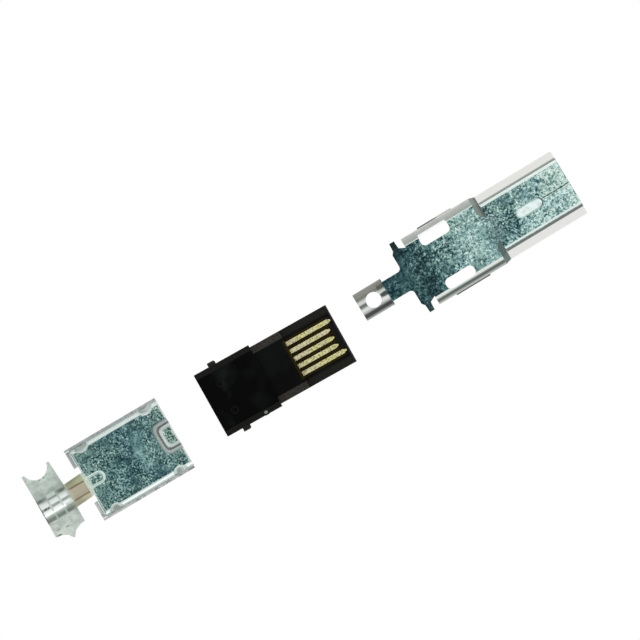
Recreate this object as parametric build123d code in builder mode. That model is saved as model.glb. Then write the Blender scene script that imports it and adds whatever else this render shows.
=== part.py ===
from build123d import *
import os
from math import atan, cos, degrees, radians, sin

os.makedirs("parts", exist_ok=True)

# A five-contact mini plug for a cable, taken apart.
# Every piece is modelled where it sits in the closed plug, in the plug's frame:
# X runs along the plug to its tip, Z is up on the contact side, the shoulder of
# the front shell is at X = 0 and the underside of the nose is at Z = 0.
# At the end the three groups are laid out in a row on the table.

# Sheet metal of both shells
sheet = 0.2

# Nose: the closed tube that goes into a socket
nose_length = 8.4
nose_width = 6.8
nose_height = 3.0
nose_top_width = 5.0
nose_side_height = 1.9
nose_edge = 0.35
nose_lead_in = 0.08
seam_gap = 0.06

# Retention dimple and pressed panel on the nose
dimple_start = 2.5
dimple_length = 2.9
dimple_width = 1.1
dimple_depth = 0.2
dimple_slope = 35
dimple_offset = -0.15
panel_start = 2.45
panel_margin = 0.3
panel_depth = 0.05
panel_corner = 0.4
crease_width = 0.08
crease_depth = 0.04

# Box: the open channel behind the nose that holds the insulator
shoulder_length = 0.6
box_end = -8.0
box_width = 7.16
box_rise = 0.3
box_top_width = 5.74
box_side_height = 2.45
box_edge = 0.4
dart_half_width = 1.2
dart_root_half_width = 1.9
dart_side_hollow = 0.2
dart_reach = 0.9

# Windows across the upper folds of the box
window_front = -3.45
window_length = 3.1
window_inner = 1.85
window_outer = 2.92
window_corner = 0.45

# Plate behind the box, with ears, neck and tail tab
plate_end = -9.45
plate_half_width = 2.65
ear_front = -8.6
ear_root_half_width = 2.95
ear_tip_half_width = 3.75
ear_root_length = 0.62
ear_tip_length = 0.5
neck_half_width = 1.05
neck_corner = 0.4
tab_start = -11.6
tab_length = 3.05
tab_width = 2.8
tab_arch_radius = 2.2
tab_root = 0.15
tab_blend = 0.6
tab_hole = 1.5

# Snap fit between the insulator and the walls of the front shell
bump_length = 0.8
bump_lead_in = 0.12
bump_height = 0.6
bump_proud = 0.37
bump_rear_setback = 4.3
bump_level = 1.3
snap_clearance = 0.08
slot_corner = 0.12
bead_radius = 0.12
bead_length = 3.7
bead_overhang = 1.2

# Insulator
body_clearance = 0.08
nose_clearance = 0.15
seat_clearance = 0.05
body_length = 5.9
body_drop = 0.25
body_lower_chamfer = 0.5
block_length = 3.15
insulator_nose_length = 8.2
shelf_level = 1.35
shelf_edge = 0.15
mark_diameter = 0.5
mark_depth = 0.08
mark_spread = 1.4
mark_setback = 4.1
gate_diameter = 0.4
gate_proud = 0.04
gate_setback = 1.6

# Contacts
contact_count = 5
contact_pitch = 0.8
contact_width = 0.42
contact_thickness = 0.2
contact_proud = 0.05
contact_point = 0.35
contact_point_width = 0.14
contact_reach_outer = 7.9
contact_reach_inner = 7.45
contact_tail_setback = 5.5
groove_clearance = 0.07
tail_slot_width = 0.56
tail_slot_length = 3.3
pocket_clearance = 0.1

# Rear shell: tray
floor_gap = 0.05
wall_gap = 0.02
tray_length = 9.9
tray_fold = 0.45
ear_gap = 0.03
flap_inner = 1.85
flap_height = 2.6
flap_fold = 0.2
flap_slit = 0.06
gusset_front = 1.35
gusset_spacing = 7.0
gusset_radius = 1.0
gusset_reach = 0.28

# Rear shell: front tongue and rib
tongue_length = 1.35
tongue_half_width = 1.08
tongue_rise = 0.15
tongue_bevel = 0.22
tongue_margin = 0.3
tongue_margin_corner = 0.35
tongue_margin_depth = 0.06
tongue_margin_slope = 60
rib_length = 1.75
rib_width = 1.1
rib_rise = 0.12
rib_bevel = 0.18

# Rear shell: neck and crimp barrel
crimp_neck_length = 1.6
crimp_neck_half_width = 1.23
neck_root_bend = 0.02
crimp_lift = 0.6
crimp_length = 3.15
crimp_base_half_width = 0.15
crimp_bend_radius = 1.05
crimp_angle = 50
crimp_offset = -0.15
horn_reach = 3.7
horn_width = 0.25
horn_lean = 0.1
notch_reach = 2.7
spike_reach = 3.7
spike_tip_half_width = 0.07
spike_neck_reach = 3.2
spike_neck_half_width = 0.42
spike_root_reach = 2.95
spike_root_half_width = 0.95
corner_reach = 2.85
serration_width = 0.14
serration_depth = 0.06

# Places on the table
front_gap = 2.7
rear_gap = 4.2
front_turn = 0.6
insulator_turn = -1.2
rear_turn = 0.0
insulator_shift = -1.1
rear_shift = -1.4

# Worked out from the sizes above
box_height = nose_height + box_rise
plate_underside = box_height - sheet
box_front = -shoulder_length
seat_x = box_front - seat_clearance
body_end = seat_x - body_length
body_bottom = -body_drop
floor_top = body_bottom - floor_gap
floor_bottom = floor_top - sheet
tray_inner_half = box_width / 2 + wall_gap
tray_outer_half = tray_inner_half + sheet
tray_front = box_front
tray_end = tray_front - tray_length
tray_top = plate_underside - ear_gap
tray_floor_half = tray_inner_half - tray_fold
box_wall_bottom = floor_top + tray_fold + gusset_reach + wall_gap
tray_fold_outer = tray_fold + sheet
contact_bottom = shelf_level + contact_proud - contact_thickness
contact_top = shelf_level + contact_proud
bump_rear = seat_x - bump_rear_setback
bump_middle = bump_rear + bump_length / 2
bead_rear = bump_rear - bead_overhang
bead_front = bead_rear + bead_length
bead_level = bump_level + bump_height / 2 + snap_clearance + bead_radius

# Longer than any piece is wide, for cuts that pass right through
far = 3 * nose_width


def cross_section(x, top_width, top, width, side_top, bottom, edge, smaller=0.0, open_below=False):
    """Section at x: flat top, two slanted sides, two upright sides, rounded folds.

    smaller takes an equal amount off all round. open_below leaves the lower
    corners sharp, and then the smaller section reaches further down instead.
    """
    low = bottom - 2 * smaller if open_below else bottom
    with BuildSketch(Plane.YZ.offset(x)) as outline:
        with BuildLine():
            Polyline(
                (-width / 2, low),
                (width / 2, low),
                (width / 2, side_top),
                (top_width / 2, top),
                (-top_width / 2, top),
                (-width / 2, side_top),
                close=True,
            )
        make_face()
        corners = outline.vertices().group_by(Axis.Y)
        upper_corners = corners[1] + corners[2]
        fillet(upper_corners if open_below else corners[0] + upper_corners, edge)
        if smaller:
            offset(amount=-smaller, mode=Mode.REPLACE)
    return outline.sketch


def nose_section(x, smaller=0.0):
    """The closed section of the nose."""
    return cross_section(
        x, nose_top_width, nose_height, nose_width, nose_side_height, 0, nose_edge, smaller
    )


def nose_mouth_section(x, smaller=0.0):
    """The part of the nose's section that the shoulder runs into."""
    return cross_section(
        x, nose_top_width, nose_height, nose_width, nose_side_height, box_wall_bottom, nose_edge,
        smaller, open_below=True,
    )


def box_section(x, smaller=0.0, bottom=box_wall_bottom):
    """The section of the box, open below."""
    return cross_section(
        x, box_top_width, box_height, box_width, box_side_height, bottom, box_edge,
        smaller, open_below=True,
    )


def dart_section(lower):
    """Side view of the dart: a wedge from the box's top down to the nose, set lower by an amount."""
    with BuildSketch(Plane.XZ) as section:
        with BuildLine():
            Polyline(
                (box_front, box_height - lower),
                (dart_reach, nose_height - lower),
                (dart_reach, nose_height - lower - sheet / 2),
                (box_front, nose_height - lower - sheet / 2),
                close=True,
            )
        make_face()
    return section.sketch


def dart(lower, narrower):
    """Solid of the dart: the wedge, with sides that draw in along a curve down the shoulder."""
    root, half = dart_root_half_width - narrower, dart_half_width - narrower
    hollow = (box_front * (1 + dart_side_hollow) / 2, (root + half - dart_side_hollow * (root - half)) / 2)
    with BuildPart() as wedge:
        extrude(dart_section(lower), amount=far, both=True)
        with BuildSketch():
            with BuildLine():
                Polyline((box_front, 0), (box_front, root))
                ThreePointArc((box_front, root), hollow, (0, half))
                Polyline((0, half), (dart_reach, half), (dart_reach, 0))
                mirror(about=Plane.XZ)
            make_face()
        extrude(amount=far, mode=Mode.INTERSECT)
    return wedge.part


def arch_section(x):
    """Section of the tail tab at x: a strip of sheet bent to an arch."""
    inner_radius = tab_arch_radius - sheet
    half = tab_width / 2
    inner_half = half * inner_radius / tab_arch_radius
    centre_level = box_height - tab_arch_radius
    edge_level = centre_level + (tab_arch_radius**2 - half**2) ** 0.5
    inner_edge_level = centre_level + (inner_radius**2 - inner_half**2) ** 0.5
    with BuildSketch(Plane.YZ.offset(x)) as section:
        with BuildLine():
            ThreePointArc((-half, edge_level), (0, box_height), (half, edge_level))
            Line((half, edge_level), (inner_half, inner_edge_level))
            ThreePointArc(
                (inner_half, inner_edge_level), (0, plate_underside), (-inner_half, inner_edge_level)
            )
            Line((-inner_half, inner_edge_level), (-half, edge_level))
        make_face()
    return section.sketch


# Front shell: nose, shoulder and box
with BuildPart() as front_shell:
    # Outside
    extrude(nose_section(0), amount=nose_length)
    tip_edges = faces().sort_by(Axis.X)[-1].outer_wire().edges()
    chamfer(tip_edges, nose_lead_in)
    loft([box_section(box_front), nose_mouth_section(0)])
    extrude(box_section(box_end), amount=box_front - box_end)

    # Dart that stiffens the middle of the shoulder
    add(dart(0, 0))

    # Inside
    extrude(nose_section(0, sheet), amount=nose_length, mode=Mode.SUBTRACT)
    loft([box_section(box_front, sheet), nose_mouth_section(0, sheet)], mode=Mode.SUBTRACT)
    extrude(box_section(box_end, sheet), amount=box_front - box_end, mode=Mode.SUBTRACT)
    add(dart(sheet, sheet), mode=Mode.SUBTRACT)

    # Pressed panel on the front of the nose's upper face
    panel_half_width = nose_top_width / 2 - panel_margin
    with BuildSketch(Plane.XY.offset(nose_height)) as panel:
        with Locations((panel_start, 0)):
            Rectangle(2 * nose_length, 2 * panel_half_width, align=(Align.MIN, Align.CENTER))
        fillet(panel.vertices().group_by(Axis.X)[0], panel_corner)
    extrude(amount=-panel_depth, mode=Mode.SUBTRACT)

    # Retention dimple, pressed down through the sheet
    dimple_middle = dimple_start + dimple_length / 2
    dimple_floor = nose_height - panel_depth - dimple_depth
    with BuildSketch(Plane.XY.offset(dimple_floor - sheet)):
        with Locations((dimple_middle, dimple_offset)):
            SlotOverall(dimple_length, dimple_width)
    extrude(amount=dimple_depth + panel_depth)
    with BuildSketch(Plane.XY.offset(nose_height - panel_depth)):
        with Locations((dimple_middle, dimple_offset)):
            SlotOverall(dimple_length, dimple_width)
    extrude(amount=-dimple_depth, taper=dimple_slope, mode=Mode.SUBTRACT)

    # Fine crease along the upper face, before and after the dimple
    crease_end = nose_length - nose_lead_in
    dimple_end = dimple_start + dimple_length
    with BuildSketch(Plane.XY.offset(nose_height - panel_depth - crease_depth)):
        for start, end in ((dart_reach, dimple_start), (dimple_end, crease_end)):
            with Locations(((start + end) / 2, 0)):
                Rectangle(end - start, crease_width)
    extrude(amount=panel_depth + crease_depth, mode=Mode.SUBTRACT)

    # Seam where the sheet's two edges meet under the nose
    with BuildSketch(Plane.XY):
        Rectangle(2 * nose_length, seam_gap)
    extrude(amount=2 * sheet, mode=Mode.SUBTRACT)

    # Windows across the upper folds
    with BuildSketch(Plane.XY.offset(box_side_height)):
        with Locations((window_front - window_length / 2, 0)):
            for side in (-1, 1):
                with Locations((0, side * (window_inner + window_outer) / 2)):
                    RectangleRounded(window_length, window_outer - window_inner, window_corner)
    extrude(amount=box_height, mode=Mode.SUBTRACT)

    # Latch slots in the side walls, which the insulator's bumps snap into
    with BuildSketch(Plane.XZ):
        with Locations((bump_middle, bump_level)):
            RectangleRounded(
                bump_length + 2 * snap_clearance, bump_height + 2 * snap_clearance, slot_corner
            )
    extrude(amount=far, both=True, mode=Mode.SUBTRACT)

    # Bead on each side wall, above the latch slot
    for side in (-1, 1):
        with Locations(((bead_rear + bead_front) / 2, side * box_width / 2, bead_level)):
            Cylinder(bead_radius, bead_length, rotation=(0, 90, 0))

    # Plate behind the box, with its ears and neck
    ear_middle = ear_front - ear_root_length / 2
    with BuildSketch(Plane.XY.offset(plate_underside)) as rear_plate:
        with BuildLine():
            Polyline(
                (box_end + sheet, 0),
                (box_end + sheet, plate_half_width),
                (box_end, plate_half_width),
                (ear_front, ear_root_half_width),
                (ear_middle + ear_tip_length / 2, ear_tip_half_width),
                (ear_middle - ear_tip_length / 2, ear_tip_half_width),
                (ear_front - ear_root_length, ear_root_half_width),
                (plate_end, plate_half_width),
                (plate_end, neck_half_width),
                (tab_start, neck_half_width),
                (tab_start, tab_width / 2),
                (tab_start - tab_root, tab_width / 2),
                (tab_start - tab_root, 0),
            )
            mirror(about=Plane.XZ)
        make_face()
        for side in (-1, 1):
            neck_root = (plate_end, side * neck_half_width)
            fillet(rear_plate.vertices().sort_by_distance(neck_root)[0], neck_corner)
    extrude(amount=sheet)

    # Tail tab: flat where it leaves the neck, then arched
    arch_start = tab_start - tab_root - tab_blend
    tab_end = tab_start - tab_length
    with BuildSketch(Plane.YZ.offset(tab_start - tab_root), mode=Mode.PRIVATE) as flat_section:
        with Locations((0, box_height - sheet / 2)):
            Rectangle(tab_width, sheet)
    loft([flat_section.sketch, arch_section(arch_start)])
    extrude(arch_section(tab_end), amount=arch_start - tab_end)
    with BuildSketch(Plane.XY.offset(box_height)):
        with Locations(((tab_start + tab_end) / 2, 0)):
            Circle(tab_hole / 2)
    extrude(amount=-box_height, mode=Mode.SUBTRACT)

# Insulator
with BuildPart() as insulator:
    # Rear body, shaped to the inside of the box
    body_inset = sheet + body_clearance
    extrude(box_section(seat_x, body_inset, body_bottom + body_inset), amount=-body_length)
    split(bisect_by=Plane.XY.offset(body_bottom), keep=Keep.TOP)
    lower_edges = faces().sort_by(Axis.Z)[0].edges().filter_by(Axis.X)
    chamfer(lower_edges, body_lower_chamfer)

    # Nose: a block that fills the shell, then a shelf that leaves room for the socket
    extrude(nose_section(seat_x, sheet + nose_clearance), amount=insulator_nose_length)
    nose_tip = seat_x + insulator_nose_length
    with BuildSketch(Plane.XY.offset(shelf_level)):
        with Locations((seat_x + block_length, 0)):
            Rectangle(far, nose_width, align=(Align.MIN, Align.CENTER))
    extrude(amount=nose_height, mode=Mode.SUBTRACT)
    chamfer(faces().sort_by(Axis.X)[-1].edges().sort_by(Axis.Z)[-1], shelf_edge)

    # Snap bump on each side, with a small lead-in at its front corner
    body_half = box_width / 2 - body_inset
    for side in (-1, 1):
        with BuildSketch(Plane.XY.offset(bump_level)):
            with BuildLine():
                Polyline(
                    (bump_rear, side * (body_half - bump_proud)),
                    (bump_rear, side * (body_half + bump_proud)),
                    (bump_rear + bump_length - bump_lead_in, side * (body_half + bump_proud)),
                    (bump_rear + bump_length, side * (body_half + bump_proud - bump_lead_in)),
                    (bump_rear + bump_length, side * (body_half - bump_proud)),
                    close=True,
                )
            make_face()
        extrude(amount=bump_height / 2, both=True)

    # Round gate mark, slightly proud, on one side wall near the front
    with BuildSketch(Plane.XZ.offset(body_half)):
        with Locations((seat_x - gate_setback, box_side_height - gate_diameter)):
            Circle(gate_diameter / 2)
    extrude(amount=gate_proud)

    # Pocket below, for the tongue of the rear shell
    with BuildSketch(Plane.XY.offset(body_bottom)):
        with Locations((seat_x, 0)):
            Rectangle(tongue_length + pocket_clearance, 2 * (tongue_half_width + pocket_clearance),
                      align=(Align.MAX, Align.CENTER))
    extrude(amount=tongue_rise, mode=Mode.SUBTRACT)

    # Comb of slots below, open to the rear, for the solder tails
    with BuildSketch(Plane.XY.offset(body_bottom)):
        with Locations((body_end, 0)):
            with GridLocations(0, contact_pitch, 1, contact_count):
                Rectangle(tail_slot_length, tail_slot_width, align=(Align.MIN, Align.CENTER))
    extrude(amount=contact_top - body_bottom, mode=Mode.SUBTRACT)

    # Two small round marks on top of the body
    with BuildSketch(Plane.XY.offset(plate_underside - body_clearance)):
        with Locations((seat_x - mark_setback, mark_spread), (seat_x - mark_setback, -mark_spread)):
            Circle(mark_diameter / 2)
    extrude(amount=-mark_depth, mode=Mode.SUBTRACT)


def contact_reach(number):
    """How far a contact reaches past the seat: the outer two are the longer ones."""
    return contact_reach_outer if number in (1, contact_count) else contact_reach_inner


def contact_y(number):
    """Where a contact lies across the plug."""
    return ((contact_count + 1) / 2 - number) * contact_pitch


# Contacts: flat blades with a pointed tip, each ending in a solder tail
contacts = []
for number in range(1, contact_count + 1):
    tip = seat_x + contact_reach(number)
    tail = seat_x - contact_tail_setback
    y = contact_y(number)
    with BuildPart() as contact:
        with BuildSketch(Plane.XY.offset(contact_bottom)):
            with BuildLine():
                Polyline(
                    (tail, y - contact_width / 2),
                    (tip - contact_point, y - contact_width / 2),
                    (tip, y - contact_point_width / 2),
                    (tip, y + contact_point_width / 2),
                    (tip - contact_point, y + contact_width / 2),
                    (tail, y + contact_width / 2),
                    close=True,
                )
            make_face()
        extrude(amount=contact_thickness)
    contact.part.label = f"contact_{number}"
    contacts.append(contact)

# Grooves in the shelf, and the way of each contact through the block
with insulator:
    for number, contact in enumerate(contacts, start=1):
        groove_end = seat_x + contact_reach(number) + groove_clearance
        with BuildSketch(Plane.XY.offset(contact_bottom)):
            with Locations((seat_x + block_length, contact_y(number))):
                Rectangle(groove_end - seat_x - block_length, contact_width + 2 * groove_clearance,
                          align=(Align.MIN, Align.CENTER))
        extrude(amount=nose_height, mode=Mode.SUBTRACT)
        add(contact.part, mode=Mode.SUBTRACT)

# Rear shell: places of the gussets, of the tongue and of the barrel
gusset_axis_half = tray_floor_half - gusset_reach + gusset_radius * 2**0.5
gusset_spots = [
    Location((tray_front - setback, side * gusset_axis_half, floor_top), (-side * 45, 0, 0))
    for setback in (gusset_front, gusset_front + gusset_spacing)
    for side in (-1, 1)
]
gusset_run = 4 * gusset_radius
floor_end = tray_end + flap_fold + sheet
barrel_front = tray_end - crimp_neck_length
barrel_end = barrel_front - crimp_length
barrel_level = floor_top + crimp_lift
barrel_middle = (barrel_front + barrel_end) / 2


def tray_section(x, half_width, low, fold):
    """Section of the tray at x: upright sides, flat floor, rounded folds."""
    with BuildSketch(Plane.YZ.offset(x)) as section:
        with Locations((0, low)):
            Rectangle(2 * half_width, tray_top - low, align=(Align.CENTER, Align.MIN))
        fillet(section.vertices().group_by(Axis.Y)[0], fold)
    return section.sketch


def flap_section(y):
    """Side view of a rear flap: a strip of the floor that turns up at the end of the tray."""
    with BuildSketch(Plane.XZ.offset(-y)) as section:
        with BuildLine():
            Polyline(
                (floor_end + sheet, floor_bottom),
                (tray_end, floor_bottom),
                (tray_end, floor_bottom + flap_height),
                (tray_end + sheet, floor_bottom + flap_height),
                (tray_end + sheet, floor_top),
                (floor_end + sheet, floor_top),
                close=True,
            )
        make_face()
        corners = section.vertices()
        fillet(corners.sort_by_distance((tray_end, floor_bottom))[0], flap_fold + sheet)
        fillet(section.vertices().sort_by_distance((tray_end + sheet, floor_top))[0], flap_fold)
    return section.sketch


def neck_section(x, level, bent):
    """Section of the rear neck at x: a strip of sheet, bent from 0 for flat to 1 as the barrel is."""
    lean, rise = cos(radians(crimp_angle)), sin(radians(crimp_angle))
    bend_y = crimp_base_half_width + crimp_bend_radius * rise
    bend_z = crimp_bend_radius * (1 - lean)
    half = [
        (0, 0),
        (crimp_base_half_width + crimp_bend_radius * rise / 2,
         crimp_bend_radius * (1 - (1 - (rise / 2) ** 2) ** 0.5)),
        (bend_y, bend_z),
        (crimp_neck_half_width, bend_z + (crimp_neck_half_width - bend_y) * rise / lean),
    ]
    upper = [(-y, z) for y, z in reversed(half[1:])] + half
    upper = [(y + bent * crimp_offset, level + bent * z) for y, z in upper]
    lower = [(y, z - sheet) for y, z in reversed(upper)]
    with BuildSketch(Plane.YZ.offset(x)) as section:
        with BuildLine():
            Polyline(*upper, *lower, close=True)
        make_face()
    return section.sketch


def neck_strip(raised, thickness):
    """Side view along the middle of the rear neck, raised by an amount, with a thickness."""
    upper = [
        (floor_end + sheet, floor_top + raised),
        (floor_end, floor_top + raised),
        (barrel_front, barrel_level + raised),
    ]
    lower = [(x, z - thickness) for x, z in reversed(upper)]
    with BuildSketch(Plane.XZ) as section:
        with BuildLine():
            Polyline(*upper, *lower, close=True)
        make_face()
    return section.sketch


def barrel_section(x, depth):
    """Section of the open crimp barrel at x: flat base, round bends, flared wings.

    Only the skin on the inside of the barrel is taken, down to a depth.
    """
    lean, rise = cos(radians(crimp_angle)), sin(radians(crimp_angle))
    bend_centre = (crimp_base_half_width, crimp_bend_radius)

    def bend_end(radius):
        return (bend_centre[0] + radius * rise, bend_centre[1] - radius * lean)

    def wing_end(radius):
        start = bend_end(radius)
        return (start[0] + far * lean, start[1] + far * rise)

    outer_radius = crimp_bend_radius + depth
    place = Plane(origin=(x, crimp_offset, barrel_level), x_dir=(0, 1, 0), z_dir=(1, 0, 0))
    with BuildSketch(place) as section:
        with BuildLine():
            Line((0, 0), (crimp_base_half_width, 0))
            TangentArc((crimp_base_half_width, 0), bend_end(crimp_bend_radius), tangent=(1, 0))
            Line(bend_end(crimp_bend_radius), wing_end(crimp_bend_radius))
            Line(wing_end(crimp_bend_radius), wing_end(outer_radius))
            Line(wing_end(outer_radius), bend_end(outer_radius))
            TangentArc((crimp_base_half_width, -depth), bend_end(outer_radius), tangent=(1, 0))
            Line((crimp_base_half_width, -depth), (0, -depth))
            mirror(about=Plane.YZ)
        make_face()
    return section.sketch


# Hollow of the tray, less the ridges that the gussets raise in its folds
with BuildPart() as tray_hollow:
    extrude(tray_section(tray_end, tray_inner_half, floor_top, tray_fold), amount=tray_length)
    with Locations(*gusset_spots):
        Cylinder(gusset_radius, gusset_run, mode=Mode.SUBTRACT)

# Crimp barrel: one wing has two horns, and the other has a point that closes between them
with BuildPart() as barrel:
    extrude(barrel_section(barrel_end, sheet), amount=crimp_length)
    with BuildSketch(Plane.XY.offset(barrel_level - crimp_length)):
        with BuildLine():
            Polyline(
                (barrel_front - horn_lean - horn_width, horn_reach),
                (barrel_front - horn_lean, horn_reach),
                (barrel_front, 0),
                (barrel_front, -corner_reach),
                (barrel_middle + spike_root_half_width, -spike_root_reach),
                (barrel_middle + spike_neck_half_width, -spike_neck_reach),
                (barrel_middle + spike_tip_half_width, -spike_reach),
                (barrel_middle - spike_tip_half_width, -spike_reach),
                (barrel_middle - spike_neck_half_width, -spike_neck_reach),
                (barrel_middle - spike_root_half_width, -spike_root_reach),
                (barrel_end, -corner_reach),
                (barrel_end, 0),
                (barrel_end + horn_lean, horn_reach),
                (barrel_end + horn_lean + horn_width, horn_reach),
            )
            ThreePointArc(
                (barrel_end + horn_lean + horn_width, horn_reach),
                (barrel_middle, notch_reach),
                (barrel_front - horn_lean - horn_width, horn_reach),
            )
        make_face()
    extrude(amount=far, mode=Mode.INTERSECT)

    # Serrations that grip the cable
    for third in (1, 2):
        groove_x = barrel_end + third * crimp_length / 3 - serration_width / 2
        extrude(barrel_section(groove_x, serration_depth), amount=serration_width, mode=Mode.SUBTRACT)

# Rear shell
with BuildPart() as rear_shell:
    # Tray, with the gussets pressed into its folds from outside
    extrude(tray_section(tray_end, tray_outer_half, floor_bottom, tray_fold_outer), amount=tray_length)
    add(tray_hollow.part, mode=Mode.SUBTRACT)
    with Locations(*gusset_spots):
        Cylinder(gusset_radius - sheet, gusset_run, mode=Mode.SUBTRACT)

    # Latch windows in the side walls, around the bumps and the beads
    latch_front = bead_front + snap_clearance
    latch_rear = bead_rear - snap_clearance
    latch_low = bump_level - bump_height / 2 - snap_clearance
    latch_high = bead_level + bead_radius + snap_clearance
    with BuildSketch(Plane.XZ):
        with Locations(((latch_front + latch_rear) / 2, (latch_low + latch_high) / 2)):
            RectangleRounded(latch_front - latch_rear, latch_high - latch_low, slot_corner)
    extrude(amount=far, both=True, mode=Mode.SUBTRACT)

    # Rear end: the floor stops short, and a flap on each side of the neck turns up
    with BuildSketch(Plane.XY.offset(floor_bottom)):
        with Locations((floor_end, 0)):
            Rectangle(tray_length, 2 * tray_inner_half, align=(Align.MAX, Align.CENTER))
    extrude(amount=tray_top - floor_bottom, mode=Mode.SUBTRACT)
    flap_outer = tray_inner_half - flap_slit
    for y in (flap_inner, -flap_outer):
        extrude(flap_section(y), amount=flap_inner - flap_outer)

    # Front tongue: a pad raised from the floor, in a shallow sunk margin
    with BuildSketch(Plane.XY.offset(floor_top)):
        with Locations((tray_front, 0)):
            RectangleRounded(2 * (tongue_length + tongue_margin), 2 * (tongue_half_width + tongue_margin),
                             tongue_margin_corner)
    extrude(amount=-tongue_margin_depth, taper=tongue_margin_slope, mode=Mode.SUBTRACT)
    tongue_slope = degrees(atan(tongue_bevel / tongue_rise))
    with BuildSketch(Plane.XY.offset(floor_top - tongue_margin_depth)):
        with Locations((tray_front, 0)):
            Rectangle(2 * tongue_length, 2 * tongue_half_width)
    extrude(amount=tongue_rise + tongue_margin_depth, taper=tongue_slope)
    with BuildSketch(Plane.XY.offset(floor_bottom)):
        with Locations((tray_front, 0)):
            Rectangle(2 * tongue_length - sheet, 2 * tongue_half_width - sheet)
    extrude(amount=tongue_rise, taper=tongue_slope, mode=Mode.SUBTRACT)
    split(bisect_by=Plane.YZ.offset(tray_front), keep=Keep.BOTTOM)

    # Neck: climbs to the crimp barrel and bends to the barrel's section on the way
    neck_foot = neck_section(floor_end, floor_top, neck_root_bend)
    neck_head = neck_section(barrel_front, barrel_level, 1)
    loft([neck_foot, neck_head], ruled=True)
    add(barrel.part)

    # Rib along the floor and the neck, pressed up from below
    rib_front = floor_end + rib_length
    rib_slope = degrees(atan(rib_bevel / rib_rise))
    for level, mode in ((floor_top, Mode.ADD), (floor_bottom, Mode.SUBTRACT)):
        with BuildSketch(Plane.XY.offset(level)):
            with Locations((rib_front - rib_width / 2, 0)):
                Circle(rib_width / 2)
                Rectangle(rib_length, rib_width, align=(Align.MAX, Align.CENTER))
        extrude(amount=rib_rise, taper=rib_slope, mode=mode)
    rib_half = rib_width / 2 - rib_bevel / 2
    extrude(neck_strip(rib_rise, sheet), amount=rib_half, both=True)
    rib_hollow = neck_strip(rib_rise - sheet, rib_rise)
    extrude(rib_hollow, amount=rib_half - rib_bevel, both=True, mode=Mode.SUBTRACT)


def place_at(along, across, turn, reference_x, lowest):
    """Lay a group on the table: its reference point goes to a place, turned about the upright."""
    return (
        Location((along, across, -lowest), (0, 0, turn))
        * Location((-reference_x, 0, 0))
    )


# Lay the three groups out in a row, from the front shell's tip to the crimp barrel
insulator_along = tab_end - front_gap - insulator_nose_length
rear_along = insulator_along - body_length - rear_gap
front_spot = place_at(0, 0, front_turn, 0, 0)
insulator_spot = place_at(insulator_along, insulator_shift, insulator_turn, seat_x, body_bottom)
rear_spot = place_at(rear_along, rear_shift, rear_turn, tray_front, floor_bottom)
laid_out = {"front_shell": front_shell.part.moved(front_spot),
            "insulator": insulator.part.moved(insulator_spot),
            "rear_shell": rear_shell.part.moved(rear_spot)}
for number, contact in enumerate(contacts, start=1):
    laid_out[f"contact_{number}"] = contact.part.moved(insulator_spot)

# Put the origin under the middle of the row
row_box = Compound(list(laid_out.values())).bounding_box()
to_middle = Location((-row_box.center().X, -row_box.center().Y, -row_box.min.Z))
for name, piece in laid_out.items():
    piece = piece.moved(to_middle)
    piece.label = name
    export_step(piece, f"parts/{name}.step")
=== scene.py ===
import math
from functools import cached_property

import bpy
from mathutils import Matrix, Vector

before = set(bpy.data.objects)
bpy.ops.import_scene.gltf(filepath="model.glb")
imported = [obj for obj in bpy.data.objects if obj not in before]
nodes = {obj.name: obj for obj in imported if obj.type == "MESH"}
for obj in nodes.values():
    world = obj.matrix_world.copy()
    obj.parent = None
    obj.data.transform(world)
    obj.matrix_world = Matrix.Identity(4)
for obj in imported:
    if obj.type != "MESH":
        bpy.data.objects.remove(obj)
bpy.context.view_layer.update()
scene = bpy.context.scene
MM = 0.001

# Camera: straight above the row, turned so that the row rises to the right
ROW_ANGLE = math.radians(30.5)
FRAME_WIDTH = 60.4 * MM
PHOTO_CENTRE = Vector((2.49, 1.56, 1.5)) * MM
CAMERA_HEIGHT = 1.5
SENSOR = 36.0
CLIP_START = 0.01
CLIP_END = 10.0

# Floor: just under the row, so that their faces don't meet
FLOOR_SIZE = 3.0
FLOOR_GAP = 0.02 * MM
FLOOR_COLOUR = (0.8, 0.8, 0.8, 1.0)

# Surroundings: soft, a little cooler on one side, and brighter overhead
WHITE = (1.0, 1.0, 1.0, 1.0)
COOL_SIDE = (0.80, 0.81, 0.82, 1.0)
WARM_SIDE = (0.88, 0.88, 0.87, 1.0)
OVERHEAD = (0.92, 0.93, 0.93, 1.0)

# Each material places its colours in millimetres along (x), across (y) and up (z) from one
# of these points of the row, on a piece that is turned by some degrees
SHOULDER = (20.933, 0.770, 0.0)
FRONT_TURN = 0.6
TRAY_FRONT = (-14.717, -0.630, 0.0)
REAR_TURN = 0.0
SHELF = (-1.468, -0.396, 0.0)
INSULATOR_TURN = -1.2

# Steps that several masks share, as (start, end)
MIDLINE = (-0.1, 0.1)            # across a piece, from its lower half in the photo to its upper half
PAST_POINT = (-0.1, 0.1)         # along a piece, past the point that it is measured from
MOTTLE = (0.35, 0.65)            # from the low to the high parts of a noise pattern
GLOSS_SPREAD = (0.3, 0.7)        # the same, for the fine pattern in the gloss
BOX_END = (-0.7, -0.5)           # along the front shell, from the box to the shoulder
LEAVING_UPRIGHT = (0.2, 0.4)     # upward part of the normal, from an upright face to a slope
PAST_UPRIGHT = (0.3, 0.4)        # the same, from a nearly upright face to a slope
ABOVE_FLOOR = (0.5, 0.6)         # up the tray, from its floor to its walls
ABOVE_FOLDS = (0.5, 0.7)         # up the tray, from its folds to its walls
ABOVE_GUSSETS = (0.7, 0.8)       # up the tray, past its gussets
INSULATOR_STEP = (-3.2, -3.1)    # along the insulator, from its body to its nose

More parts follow.
